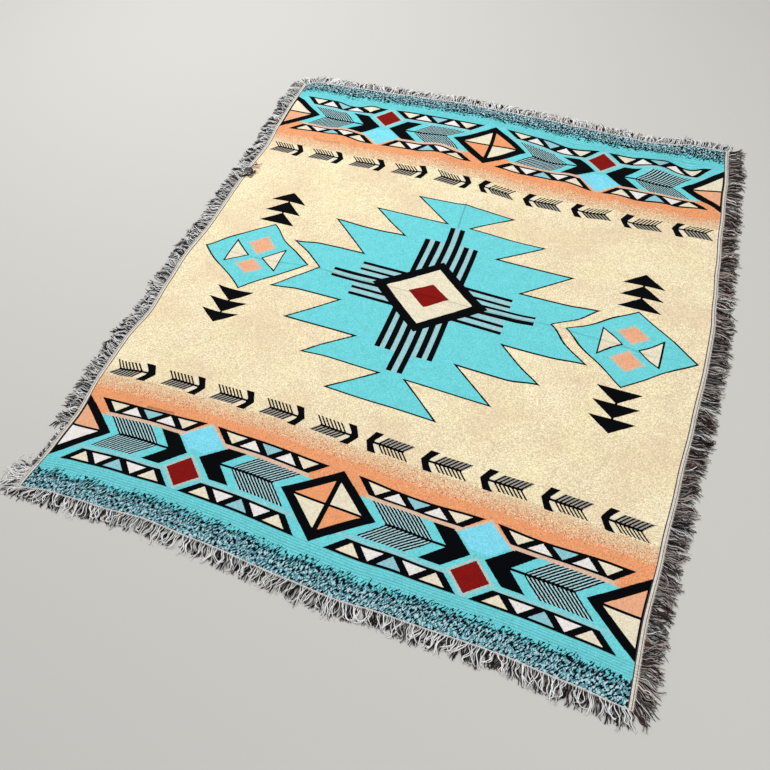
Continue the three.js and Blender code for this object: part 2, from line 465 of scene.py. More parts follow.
@dataclass(frozen=True)
class Plane:
    """A drawing plane on the cloth, in mm, whose shapes are told apart by how deep a point lies in them."""

    x: Term
    y: Term
    point: Socket

    @classmethod
    def of(cls, x: Term, y: Term) -> "Plane":
        """The plane with these two coordinates."""
        return cls(x, y, x.graph.add("ShaderNodeCombineXYZ", {"X": x, "Y": y, "Z": 1.0}))

    def inside(self, *corners: Point) -> Term:
        """Depth inside a convex outline: the least distance to its sides, negative outside it.

        Args:
            corners: the outline's corners, in order either way round.

        Returns:
            The depth in mm.
        """
        pairs = list(zip(corners, (*corners[1:], corners[0])))
        area = sum(a[0] * b[1] - b[0] * a[1] for a, b in pairs)
        depth = None
        for a, b in pairs:
            way = Vector((a[1] - b[1], b[0] - a[0])).normalized() * math.copysign(1.0, area)
            plane = (way.x, way.y, -(way.x * a[0] + way.y * a[1]))
            inputs = {0: self.point, 1: plane}
            dot = self.x.graph.add("ShaderNodeVectorMath", inputs, out="Value", operation="DOT_PRODUCT")
            side = Term(self.x.graph, dot)
            depth = side if depth is None else depth & side
        return depth

    def diamond(self, centre: Point, half_width: float, half_height: float) -> Term:
        """Depth inside a diamond that has a corner on each side of its centre."""
        scale = half_width * half_height / math.hypot(half_width, half_height)
        across = abs(self.x - centre[0]) * (scale / half_width)
        along = abs(self.y - centre[1]) * (scale / half_height)
        return scale - (across + along)


class Painter:
    """Lays one yarn colour after another over a ground, each where its mask is 1."""

    def __init__(self, graph: Graph, ground: Yarn) -> None:
        """Starts with one colour all over."""
        self.graph = graph
        self.colour = graph.plain_colour(ground.value)

    def lay(self, yarn: Yarn, mask: Term) -> None:
        """Puts that yarn on top where the mask is 1."""
        inputs = {0: mask, 6: self.colour, 7: srgb(yarn.value)}
        self.colour = self.graph.add("ShaderNodeMix", inputs, out=2, data_type="RGBA")

    def nest(self, depth: Term, *rings: tuple[float, Yarn]) -> None:
        """Puts each ring's yarn on where the depth is more than its own."""
        for least, yarn in rings:
            self.lay(yarn, depth > least)


# The woven pattern


class CreaseShade(NamedTuple):
    """A crease's painted shade: a thin darker line painted where a fold shades the cloth. It runs along the cloth
    where upright, otherwise across.
    """

    u: float
    v: float
    half_length: float
    half_width: float
    depth: float
    upright: bool


class Lumps(NamedTuple):
    """Smooth noise from 0 to 1: how wide and tall its lumps are in mm, their turn in degrees, and their detail."""

    wide: float
    tall: float
    turn: float
    detail: float = 1.5

    def over(self, plane: Plane) -> Term:
        """The noise at each point of a plane."""
        graph = plane.x.graph
        c, s = math.cos(math.radians(self.turn)), math.sin(math.radians(self.turn))
        lumps = Plane.of((plane.x * c + plane.y * s) / self.wide, (plane.y * c - plane.x * s) / self.tall)
        inputs = {"Vector": lumps.point, "Scale": 1.0, "Detail": self.detail}
        return Term(graph, graph.add("ShaderNodeTexNoise", inputs, noise_dimensions="2D"))


class Line(NamedTuple):
    """A straight rule: some number times its gain, from its start."""

    gain: float
    start: float = 0

    def of(self, number: Term) -> Term:
        """What the rule gives for that number."""
        return number * self.gain + self.start


@dataclass(frozen=True)
class FieldMix:
    """How the field's cream yarns mix, and how orange is mottled into it. Depths are in mm, the rest are shares."""

    patches: Lumps = Lumps(26, 17, 30, 3)
    drift: Lumps = Lumps(150, 130, 20)
    warmth: Lumps = Lumps(90, 120, -30)
    pale: Line = Line(1.5)
    yellow_from: float = 0.3
    yellow_to: Line = Line(1.6, -0.3)
    pink: Line = Line(1.2, -0.3)
    fine: Lumps = Lumps(2.4, 4.2, 35, 2)
    coarse: Lumps = Lumps(9, 6, 10, 2)
    ragged_depth: float = 10
    straw: Line = Line(0.56)
    orange: Line = Line(0.36, 0.08)
    orange_clumps: float = 0.3
    orange_enters: float = 0.3
    brown: Line = Line(-0.03, 0.63)
    fleck_from: float = 0.5
    fleck_to: Line = Line(-0.04, 0.56)
    flecks_enter: float = 0.2
    solid_ragged_depth: float = 18
    solid_depth: float = 6
    solid_brown: float = 0.69
    solid_peach: float = 0.33


@dataclass(frozen=True)
class SpeckleMix:
    """How dark strokes and pale yarns are mixed into the turquoise ends. Places are in mm, the rest are shares."""

    stroke: Lumps = Lumps(3, 8.4, -32, 0.6)
    second: Lumps = Lumps(3.2, 8, 24, 0.6)
    patch: Lumps = Lumps(40, 30, 0, 1)
    clump: Lumps = Lumps(10, 7, -32, 1)
    start: float = 693
    full: float = 706
    ragged_depth: Line = Line(12, -6)
    dull: float = 2
    deep: float = 0.51
    far_end: float = 0.035
    pale: Line = Line(-0.1, 0.58)
    pale_enters: float = 1.4
    dark: Line = Line(0.19, 0.15)
    dark_patch: float = 0.1
    dark_outer: float = 0.07
    dark_clump: float = 0.24


@dataclass(frozen=True)
class Chart:
    """The throw's pattern, drawn from its own sizes in mm and mirrored about both middles of the cloth."""

    finish: ClothFinish = field(default_factory=ClothFinish)
    mix: FieldMix = field(default_factory=FieldMix)
    ends: SpeckleMix = field(default_factory=SpeckleMix)
    half_width: float = 650
    half_length: float = 750
    repeat: float = 640
    band: float = 586.5
    orange_from: float = 484
    mottle_from: float = 436
    mottle_edge: float = 14
    sand_from: float = 529
    sand_past_row: float = 4
    turquoise_from: float = 545
    rib_zone: Pair = (669, 700)
    rib_pitch: float = 5.2
    # The rib grooves carry painted shade: rib_shade is how much darker they are.
    rib_groove: float = 0.36
    rib_shade: float = 0.24
    pale_line: Pair = (629.5, 637)
    row_depth: Pair = (50, 82.5)
    row_long: Pair = (33, 308)
    row_short: Pair = (70, 271)
    tooth_depth: Pair = (55, 77.5)
    tooth_step: float = 43.7
    tooth_half: float = 25
    cross_diamond: Pair = (108, 82)
    cross_border: float = 18
    cross_bars: Pair = (5.5, 2.4)
    feather_row: float = 585
    chevron: tuple[Point, ...] = ((9.5, -4), (61, 40), (107, 40), (58.5, -4))
    feather: tuple[Point, ...] = ((86, -4), (132, 40), (238, 40), (186, -4))
    feather_spine: Triple = (60, 192, 2.6)
    feather_pitch: float = 8.8
    feather_slant: float = 1.18
    feather_hatch: float = 0.62
    blue_diamond: Triple = (547, 54, 41)
    blue_rim: float = 4.5
    blue_tip: float = 27
    red_diamond: Triple = (627, 39, 35)
    red_rim: float = 6
    arrow_row: float = 418
    arrow_step: float = 128
    arrow_first: float = 10
    arrow_last: float = 638
    arrow_head: tuple[tuple[Point, ...], ...] = (
        ((-2, -3), (18, -3), (19, 7), (4.5, 9)),
        ((4, 8), (18, 5), (33, 24.5), (13, 24.5)),
    )
    arrow_feather: tuple[Point, ...] = ((26, 0), (44, 20), (108, 20), (89, 0))
    arrow_spine: Triple = (12, 89, 2.6)
    arrow_gap: Triple = (12, 24.5, 20)
    arrow_pitch: float = 9.1
    arrow_slant: float = 0.93
    arrow_hatch: float = 0.52
    medallion: tuple[tuple[Point, Point], ...] = (
        ((37, 252), (138, 329)),
        ((131, 174), (236, 252)),
        ((212, 83), (320, 174)),
        ((302, 0), (400, 83)),
    )
    outline: float = 3.7
    heart: tuple[Point, Point, Point] = ((149, 115), (111, 89), (52, 38))
    long_bars: Pair = (26, 13.5)
    long_bar_reach: Pair = (237, 183)
    cross_bar: Pair = (20.7, 8)
    cross_bar_reach: Pair = (261, 196)
    bar_trim: float = 1
    side_centre: Pair = (479, 480)
    side_diamond: Pair = (148.5, 114)
    side_triangle: tuple[Point, ...] = ((20, 0), (67.5, 36.5), (67.5, -36.5))
    triangle_line: Pair = (-2, 1.4)
    side_spot: Triple = (38.5, 42, 33)
    spot_grain: Lumps = Lumps(3.2, 3.2, 15, 2)
    spot_fringe: float = 20
    spot_rings: Pair = (12.5, 15.5)
    stack_start: float = 119
    stack_step: float = 39.5
    stack_triangle: Pair = (51, 38.2)
    stack_neck: float = 2.5
    selvedge: float = 11.5
    stitch_lines: Pair = (10.8, 4.8)
    stitch_half: float = 0.9
    end_thread: float = 3.4
    # Painted shade along the creases: u, v, half length, half width, depth (how dark) and upright.
    crease_shades: tuple[CreaseShade, ...] = rows_of(
        CreaseShade,
        (-5, -4, 615, 1.7, 0.17, False), (-1, 288, 55, 1.4, 0.3, True),
        (-457, -500, 38, 2.2, 0.36, False), (-470, 479, 48, 2.4, 0.16, False),
    )
    crease_shade_end: float = 6
    crease_shade_peak: float = 1.5

    def paint(self, graph: Graph) -> Socket:
        """Draws the whole pattern.

        Args:
            graph: the cloth's node tree, whose Chart attribute holds u and v in metres.

        Returns:
            The colour at each point, darkened by painted shade in the rib grooves and along the creases.
        """
        u, v = graph.chart_place()
        across, along = self.finish.cell_across, self.finish.cell_along
        at = graph.add("ShaderNodeCombineXYZ", {"X": (u / across).floor(), "Y": (v / along).floor()})
        pick = Term(graph, graph.add("ShaderNodeTexWhiteNoise", {"Vector": at}, noise_dimensions="2D"))
        u, v = (((place / (cell / 2)).floor() + 0.5) * (cell / 2) for place, cell in ((u, across), (v, along)))
        whole = Plane.of(abs(u), abs(v))
        grain = Plane.of(u, v)
        painter = Painter(graph, Yarn.CREAM)
        self._field(painter, whole, grain, pick)
        self._speckles(painter, whole, grain)
        self._medallion(painter, whole)
        self._side_diamonds(painter, u, whole, grain)
        self._arrow_row(painter, u, v, whole)
        self._band(painter, u, v, whole)
        self._edges(painter, whole)
        tone = self._vary(pick, self.finish.tone_spread)
        tone = tone * self._vary(self.mix.patches.over(grain), self.finish.patch_spread)
        # Painted shade along the creases darkens the colour.
        # Painted shade in the rib grooves darkens the colour.
        tone = tone * (1.0 - self._ribs(v, whole) * self.rib_shade) * (1.0 - self._crease_shade(u, v))
        return graph.add("ShaderNodeVectorMath", {0: painter.colour, "Scale": tone}, operation="SCALE")

    def _vary(self, share: Term, spread: float) -> Term:
        """A factor about 1 that follows a share from 0 to 1 over that spread."""
        return Line(spread, 1.0 - spread / 2).of(share)

    def _field(self, painter: Painter, whole: Plane, grain: Plane, pick: Term) -> None:
        """The field's mixed cream yarns, the orange that is mottled into it, and the band's plain grounds."""
        mix, y = self.mix, whole.y
        drift = mix.drift.over(grain)
        painter.lay(Yarn.CREAM_PALE, pick > mix.pale.of(drift))
        yellow = pick.between(mix.yellow_from, mix.yellow_to.of(mix.warmth.over(grain)))
        painter.lay(Yarn.CREAM_YELLOW, yellow)
        painter.lay(Yarn.CREAM_PINK, pick < mix.pink.of(drift))
        fine, coarse = mix.fine.over(grain), mix.coarse.over(grain)
        enter = ((y + coarse * mix.ragged_depth - self.mottle_from) / self.mottle_edge) & 1.0
        fade = ((y - self.mottle_from) / (self.orange_from - self.mottle_from)) & 1.0
        painter.lay(Yarn.STRAW, fine < mix.straw.of(enter))
        orange = fine < (mix.orange.of(fade) + coarse * mix.orange_clumps)
        painter.lay(Yarn.ORANGE, orange & (enter > mix.orange_enters))
        flecked = enter > mix.flecks_enter
        painter.lay(Yarn.BROWN, (fine > mix.brown.of(fade)) & flecked)
        painter.lay(Yarn.CREAM_PALE, fine.between(mix.fleck_from, mix.fleck_to.of(fade)) & flecked)
        solid = (y + coarse * mix.solid_ragged_depth) > (self.orange_from + mix.solid_depth)
        painter.lay(Yarn.ORANGE, solid)
        painter.lay(Yarn.BROWN, solid & (fine > mix.solid_brown))
        painter.lay(Yarn.PEACH, solid & (fine < mix.solid_peach))
        quarter = self.repeat / 2
        from_cross = abs(quarter - abs(whole.x - quarter))
        sand = (y > self.sand_from) & (from_cross > (self.row_short[0] - self.sand_past_row))
        painter.lay(Yarn.SAND, sand)
        painter.lay(Yarn.TURQUOISE, y > self.turquoise_from)

    def _speckles(self, painter: Painter, whole: Plane, grain: Plane) -> None:
        """The ends: short dark strokes over turquoise and pale yarns, ragged where they begin."""
        mix, y = self.ends, whole.y
        stroke, second, patch = mix.stroke.over(grain), mix.second.over(grain), mix.patch.over(grain)
        into = (y - mix.start + mix.ragged_depth.of(patch)) / (mix.full - mix.start)
        amount = (into | 0.0) & 1.0
        outer = ((y - mix.full) / (self.half_length - mix.full)) | 0.0
        zone = into > 0.0
        painter.lay(Yarn.TURQUOISE_DULL, into > (stroke * mix.dull))
        painter.lay(Yarn.TURQUOISE_DEEP, (second < (amount * mix.deep)) & zone)
        far = (grain.y > 0.0) * mix.far_end
        painter.lay(Yarn.MIST, (second > (mix.pale.of(outer) - far)) & (into > mix.pale_enters))
        dark = mix.dark.of(amount) + patch * mix.dark_patch - outer * mix.dark_outer
        dark = dark + mix.clump.over(grain) * mix.dark_clump + far
        painter.lay(Yarn.NAVY, (stroke < dark) & zone)

    def _ribs(self, v: Term, whole: Plane) -> Term:
        """1 in the shallow grooves of the ribbed strip beside the ends, which take painted shade."""
        groove = (v % self.rib_pitch) < (self.rib_pitch * self.rib_groove)
        return groove & whole.y.between(*self.rib_zone)

    def _crease_shade(self, u: Term, v: Term) -> Term:
        """How much painted shade each point gets from the creases: soft across each of them and at its ends."""
        darker = None
        for row in self.crease_shades:
            along, across = (v - row.v, u - row.u) if row.upright else (u - row.u, v - row.v)
            ends = ((1.0 - abs(along) / row.half_length) * self.crease_shade_end) & 1.0
            middle = (1.0 - abs(across) / (2 * row.half_width)) | 0.0
            line = (ends | 0.0) * middle * (row.depth * self.crease_shade_peak)
            darker = line if darker is None else darker | line
        return darker

    def _medallion(self, painter: Painter, whole: Plane) -> None:
        """The stepped turquoise medallion, its bars, and the nested diamonds at its heart."""
        far = 2 * self.half_width
        depth = None
        for low, high in self.medallion:
            slope = (high[0] - low[0]) / (high[1] - low[1])
            foot = low[0] - slope * (low[1] + far)
            step = whole.inside((foot - far, high[1]), high, (foot, -far), (foot - far, -far))
            depth = step if depth is None else depth | step
        painter.nest(depth, (0.0, Yarn.INK), (self.outline, Yarn.TURQUOISE))
        for across, along, bars, reach in (
            (whole.x, whole.y, self.long_bars, self.long_bar_reach),
            (whole.y, whole.x, self.cross_bar, self.cross_bar_reach),
        ):
            pitch, thick = bars
            bar = abs(across % pitch - pitch / 2) < (thick / 2)
            inner = (across < (pitch - self.bar_trim)) & (along < reach[0])
            near = inner | ((across < (3 * pitch - self.bar_trim)) & (along < reach[1]))
            gaps = ((across < (pitch / 2)) & inner) | ((across < (2.5 * pitch)) & (along < reach[1]))
            painter.lay(Yarn.PALE, gaps)
            painter.lay(Yarn.INK, near & bar)
        for size, yarn in zip(self.heart, (Yarn.INK, Yarn.TOOTH_CREAM, Yarn.RED)):
            painter.lay(yarn, whole.diamond((0, 0), *size) > 0.0)

    def _side_diamonds(self, painter: Painter, u: Term, whole: Plane, grain: Plane) -> None:
        """The turquoise diamond at each side, with its triangles and orange spots, and the stacks past its tips."""
        left, right = self.side_centre
        centre = (u > 0.0) * (right - left) + left
        local = Plane.of(abs(whole.x - centre), whole.y)
        depth = local.diamond((0, 0), *self.side_diamond)
        painter.nest(depth, (0.0, Yarn.INK), (self.outline, Yarn.TURQUOISE))
        spot, width, height = self.side_spot
        inner = local.diamond((0, spot), width, height) + self.spot_grain.over(grain) * self.spot_fringe
        painter.nest(inner, *zip(self.spot_rings, (Yarn.SAND, Yarn.APRICOT)))
        triangle = local.inside(*self.side_triangle)
        painter.nest(triangle, *zip(self.triangle_line, (Yarn.INK, Yarn.TOOTH_CREAM)))
        half, tall = self.stack_triangle
        rise = (local.y - self.stack_start) % self.stack_step
        stack = Plane.of(local.x, rise).inside((-half, 0), (half, 0), (0, tall)) > 0.0
        neck = (local.x < self.stack_neck) & (local.y < (self.stack_start + 2.5 * self.stack_step))
        count = local.y.between(self.stack_start, self.stack_start + 3 * self.stack_step)
        painter.lay(Yarn.INK, (stack | neck) & count)

    def _arrow_row(self, painter: Painter, u: Term, v: Term, whole: Plane) -> None:
        """The row of small arrows inside each orange strip, all pointing to the middle of the cloth."""
        along = (whole.x - self.arrow_first) % self.arrow_step
        local = Plane.of(along, abs(whole.y - self.arrow_row))
        allowed = whole.x.between(self.arrow_first, self.arrow_last)
        feather = (local.inside(*self.arrow_feather) > 0.0) & allowed
        slant = local.x - local.y * self.arrow_slant
        hatch = ((slant % self.arrow_pitch) < (self.arrow_pitch * self.arrow_hatch)) & feather
        start, end, half = self.arrow_spine
        spine = (local.y < half) & local.x.between(start, end)
        head = local.inside(*self.arrow_head[0]) | local.inside(*self.arrow_head[1])
        near_left = (u < 0.0) & (v < 0.0)
        shaded = abs((whole.y < self.arrow_row) - near_left)
        start, end, half = self.arrow_gap
        gap = slant.between(start, end) & (local.y < half)
        painter.lay(Yarn.DRAB, feather & shaded)
        painter.lay(Yarn.TOOTH_CREAM, gap & allowed)
        painter.lay(Yarn.INK, hatch | ((spine | (head > 0.0)) & allowed))

    def _band(self, painter: Painter, u: Term, v: Term, whole: Plane) -> None:
        """The wide band: two rows of triangles, crossed diamonds, quarter diamonds, chevrons and feathers."""
        quarter = self.repeat / 2
        from_cross = abs(quarter - abs(whole.x - quarter))
        from_line = abs(whole.y - self.band)
        row = Plane.of(from_cross, from_line)
        near, far = self.row_depth
        (long_from, long_to), (short_from, short_to) = self.row_long, self.row_short
        rows = row.inside((long_from, far), (long_to, far), (short_to, near), (short_from, near))
        painter.lay(Yarn.PALE_LINE, whole.y.between(*self.pale_line))
        painter.lay(Yarn.INK, rows > 0.0)
        middle = (long_from + long_to) / 2
        low, high = self.tooth_depth
        teeth = Plane.of(abs(from_cross - middle), from_line)
        for index, yarn in enumerate((Yarn.TOOTH_BLUE, Yarn.WHITE, Yarn.TOOTH_CREAM)):
            base, apex = (low, high) if index == 1 else (high, low)
            x, half = index * self.tooth_step, self.tooth_half
            painter.lay(yarn, teeth.inside((x - half, base), (x + half, base), (x, apex)) > 0.0)
        self._feathers(painter, whole)
        self._quarter_diamonds(painter, whole)
        crossed = row.diamond((0, 0), *self.cross_diamond)
        inner = whole.y < self.band
        edge = whole.x > quarter
        leans = ((u < 0.0) & inner) | ((u > 0.0) & (inner < 0.5))
        orange = (leans & (edge < 0.5)) | (edge & inner)
        painter.lay(Yarn.INK, crossed > 0.0)
        panes = crossed > self.cross_border
        painter.lay(Yarn.TOOTH_CREAM, panes)
        painter.lay(Yarn.ORANGE, panes & orange)
        painter.lay(Yarn.APRICOT, panes & orange & edge)
        painter.lay(Yarn.WHITE, panes & edge & (inner < 0.5) & (u < 0.0) & (v < 0.0))
        bars = (from_line < self.cross_bars[1]) | (from_cross < self.cross_bars[0])
        painter.lay(Yarn.INK, bars & (crossed > 0.0))

    def _feathers(self, painter: Painter, whole: Plane) -> None:
        """Black chevrons either side of each quarter point, with the feathered arrows behind them."""
        local = Plane.of(abs(whole.x - self.repeat / 2), abs(whole.y - self.feather_row))
        chevron = local.inside(*self.chevron) > 0.0
        feather = local.inside(*self.feather) > 0.0
        slant = local.x - local.y * self.feather_slant
        hatch = (slant % self.feather_pitch) < (self.feather_pitch * self.feather_hatch)
        start, end, half = self.feather_spine
        spine = (local.y < half) & local.x.between(start, end)
        painter.lay(Yarn.PALE_FEATHER, feather)
        painter.lay(Yarn.INK, (feather & hatch) | chevron | spine)

    def _quarter_diamonds(self, painter: Painter, whole: Plane) -> None:
        """The light-blue and red diamonds where the chevrons meet."""
        quarter = self.repeat / 2
        blue_at, *blue_size = self.blue_diamond
        red_at, *red_size = self.red_diamond
        blue = whole.diamond((quarter, blue_at), *blue_size)
        red = whole.diamond((quarter, red_at), *red_size)
        painter.lay(Yarn.SAND, (blue > -self.blue_rim) & (whole.y < blue_at))
        painter.lay(Yarn.PALE_GREY, red.between(-self.red_rim, 0.0))
        painter.lay(Yarn.LIGHT_BLUE, blue > 0.0)
        painter.lay(Yarn.TURQUOISE, (blue > 0.0) & (whole.y > (blue_at + self.blue_tip)))
        painter.lay(Yarn.RED, red > 0.0)

    def _edges(self, painter: Painter, whole: Plane) -> None:
        """The stitched selvedge down each side and the white thread along each end."""
        into = self.half_width - whole.x
        painter.lay(Yarn.SELVEDGE, into < self.selvedge)
        for line in self.stitch_lines:
            painter.lay(Yarn.SELVEDGE_DARK, abs(into - line) < self.stitch_half)
        painter.lay(Yarn.WHITE, whole.y > (self.half_length - self.end_thread))


# The cloth


class Creep(NamedTuple):
    """How far the pattern has been drawn aside around one place, by the way the cloth was pulled out there."""

    u: float
    v: float
    reach_u: float
    reach_v: float
    sideways: float
    lengthwise: float


CREEPS: tuple[Creep, ...] = rows_of(
    Creep,
    (-480, -505, 110, 45, 0, -4), (170, -505, 130, 50, 0, -6), (440, -505, 120, 50, 0, -6),
    (0, -420, 900, 55, 0, -3), (-590, -420, 90, 55, 0, -5), (580, -418, 230, 60, -11, -3),
    (-20, -418, 110, 50, 4, 0), (0, 180, 120, 130, 5, 0), (0, -150, 120, 110, 2, 0),
    (-200, -3, 100, 24, 0, -4), (220, 2, 110, 26, 0, 5), (-335, 178, 100, 60, -8, 7),
    (-405, 78, 75, 50, -5, -9), (-402, -90, 80, 50, 0, -8), (398, 88, 80, 48, -3, 6),
    (398, -80, 80, 45, 0, 6), (320, 8, 110, 45, -2, 12), (430, 10, 70, 60, 0, 8), (540, -5, 55, 50, 0, -6),
    (318, -163, 75, 60, -4, 11), (-131, 176, 60, 40, 0, 4), (-240, -256, 75, 40, 0, -5),
    (-490, -12, 190, 105, 0, -14), (-475, -125, 110, 60, 5, -9), (-615, -8, 60, 60, 13, -6),
    (-475, -195, 100, 95, 3, -9), (-478, 215, 100, 90, 0, 8), (-432, 655, 62, 60, 0, -19),
    (-383, 668, 40, 42, 0, 6), (-480, 512, 130, 36, 0, 12), (-425, 580, 62, 38, 0, -10),
    (-530, 592, 70, 50, 0, 5), (-90, 525, 60, 30, 0, -8), (180, 520, 95, 60, 0, 11),
    (235, 645, 85, 60, 0, -14), (95, 605, 100, 70, 0, 11), (475, 578, 75, 60, 0, -17),
    (430, 498, 75, 32, 0, -7), (580, 515, 65, 35, 0, 11), (545, 655, 50, 36, 0, -13),
    (455, 660, 42, 34, 0, -9), (-455, 425, 70, 45, 0, 5), (100, 415, 120, 40, 0, -6),
    (440, 415, 70, 42, 0, -9), (570, 425, 75, 50, 0, 11), (0, 600, 120, 90, 4, 0),
)


@dataclass(frozen=True)
class ThrowCloth:
    """The woven cloth: one closed sheet on the laid shape, with its pattern and the relief of its weave."""

    laid: LaidCloth
    chart: Chart = field(default_factory=Chart)
    across: int = 156
    along: int = 180
    rim_start: float = 13
    rim_reach: float = 20
    map_length: float = 0.985
    map_margin: float = 0.006
    map_under: Pair = (0.885, 0.108)
    map_rim: float = 0.1

    def build(self) -> bpy.types.Object:
        """Makes the sheet from two layers of the same grid, joined round the rim."""
        u, v = (flat.ravel() for flat in self.laid.grid(self.across, self.along))
        points = np.concatenate([self.laid.place(u, v), self.laid.place(u, v, self.laid.thickness)])
        ring = self._ring()
        after = np.roll(ring, -1)
        cells = self._cells()
        top, under = cells + len(u), cells[:, ::-1]
        rim = np.stack([ring, after, after + len(u), ring + len(u)], axis=1)
        faces = np.concatenate([top, under, rim])
        mesh = bpy.data.meshes.new("throw_cloth")
        mesh.from_pydata(points.tolist(), [], faces.tolist())
        mesh.polygons.foreach_set("use_smooth", np.arange(len(faces)) < 2 * len(top))
        drawn_u, drawn_v = self._drawn(u, v)
        chart = np.stack([np.tile(drawn_u, 2), np.tile(drawn_v, 2), np.zeros(2 * len(u))], axis=1) * MM
        mesh.attributes.new("Chart", "FLOAT_VECTOR", "POINT").data.foreach_set("vector", chart.ravel())
        self._map(mesh, u, v, faces, len(top))
        mesh.materials.append(self.material())
        return stand("throw_cloth", mesh)

    def _drawn(self, u: Array, v: Array) -> tuple[Array, Array]:
        """The place on the chart that each point of the cloth shows."""
        drawn_u, drawn_v = u.copy(), v.copy()
        for row in CREEPS:
            amount = hump((u - row.u) / row.reach_u) * hump((v - row.v) / row.reach_v)
            drawn_u -= row.sideways * amount
            drawn_v -= row.lengthwise * amount
        free = ease((self.laid.to_edge(u, v) - self.rim_start) / self.rim_reach)
        return u + (drawn_u - u) * free, v + (drawn_v - v) * free

    def _cells(self) -> Array:
        """The grid's cells, each as four corners, anticlockwise seen from above."""
        j, i = np.meshgrid(np.arange(self.along), np.arange(self.across), indexing="ij")
        a = (j * (self.across + 1) + i).ravel()
        return np.stack([a, a + 1, a + self.across + 2, a + self.across + 1], axis=1)

    def _ring(self) -> Array:
        """The grid's rim, anticlockwise seen from above."""
        row = self.across + 1
        front = np.arange(self.across)
        right = self.across + np.arange(self.along) * row
        back = self.along * row + np.arange(self.across, 0, -1)
        left = np.arange(self.along, 0, -1) * row
        return np.concatenate([front, right, back, left])

    def _map(self, mesh: bpy.types.Mesh, u: Array, v: Array, faces: Array, cells: int) -> None:
        """Lays the sheet out flat: the top nearly fills the square, the rim lies just outside the top's
        outline, and the underside is squeezed into the strip left at the side."""
        half = np.array([self.laid.width, self.laid.length]) / 2
        scale = self.map_length / self.laid.length
        place = np.stack([u, v], axis=1)
        top = (place + half) * scale + self.map_margin
        start, wide = self.map_under
        under = np.stack([start + (place[:, 0] + half[0]) / self.laid.width * wide, top[:, 1]], axis=1)
        out = np.sign(place) * (np.abs(place) > half - self.map_rim)
        beyond = top + out * self.laid.thickness * scale
        upper = faces[:cells] - len(u)
        rim = faces[2 * cells :]
        rim_map = np.stack([beyond[rim[:, 0]], beyond[rim[:, 1]], top[rim[:, 1]], top[rim[:, 0]]], axis=1)
        loops = np.concatenate([top[upper], under[faces[cells : 2 * cells]], rim_map]).reshape(-1, 2)
        mesh.uv_layers.new(name="OFBake").uv.foreach_set("vector", loops.astype(np.float32).ravel())

    def material(self) -> bpy.types.Material:
        """Woven cotton and polyester: the charted colours, matt, over the small domes of the weave's floats."""
        finish = self.chart.finish
        graph = Graph("tapestry_weave")
        colour = self.chart.paint(graph)
        place_u, place_v = graph.chart_place()
        u, v = place_u / finish.cell_across, place_v / finish.cell_along
        side = (u + v.floor() * 0.5) % 1.0 * 2.0 - 1.0
        up = v % 1.0 * 2.0 - 1.0
        dome = (1.0 - side * side) * (1.0 - up * up)
        inputs = {"Height": dome, "Distance": finish.relief * MM, "Strength": finish.bump}
        bump = graph.add("ShaderNodeBump", inputs)
        return graph.finish(colour, finish, bump)


# The fringe


@dataclass(frozen=True)
class YarnMix:
    """How much of a fringe each colour makes up."""

    yarn: FringeYarn
    share: float


@dataclass(frozen=True)
class Layer:
    """One layer of a fringe's yarns, with lengths in mm and turns in degrees. reach is the part of the side that
    it covers, and a layer that is turned back lies on the cloth."""

    mixes: tuple[YarnMix, ...]
    yarns: int
    length: float
    radius: float
    lift: float
    curl: float
    hook: float
    bend: float
    clump: float
    reach: Point = (0.001, 0.999)
    turned_back: bool = False


class Tuck(NamedTuple):
    """A stretch of a fringe that is caught under the cloth: where it runs, and how much of each yarn shows."""

    start: float
    end: float
    shown: float


@dataclass(frozen=True)
class Habit:
    """How locks and single yarns differ from one another. A pair is a range, and places along a yarn are shares."""

    scatter: float = 0.8
    lock_step: Pair = (0.5, 1.6)
    lean_wave: float = 52
    lean_spread: float = 0.7
    lock_length: Pair = (0.8, 1.12)
    lock_lift: Pair = (0.2, 1)
    lock_waves: Pair = (0.7, 1.5)
    lock_swing: Pair = (0.4, 1)
    lean: float = 6
    bend: float = 0.5
    bend_from: float = 0.25
    bend_gain: float = 1.4
    hook_kept: float = 0.75
    hook: float = 0.45
    hook_from: float = 0.6
    length: Pair = (0.86, 1.06)
    waves: float = 0.12
    phase: float = 0.5
    swing: Pair = (0.6, 1.1)
    swing_in: float = 2.5
    gather_in: float = 1.3
    rise: Pair = (0.3, 1.3)
    rise_in: float = 3
    arch_reach: float = 1.05
    wobble: float = 0.6
    root_height: float = 1.2
    root_inset: float = 1.5
    rest_height: float = 0.75
    taper: float = 0.45
    taper_from: float = 0.7
    thick: Pair = (0.75, 1.1)
    tone: Pair = (0.84, 1.06)


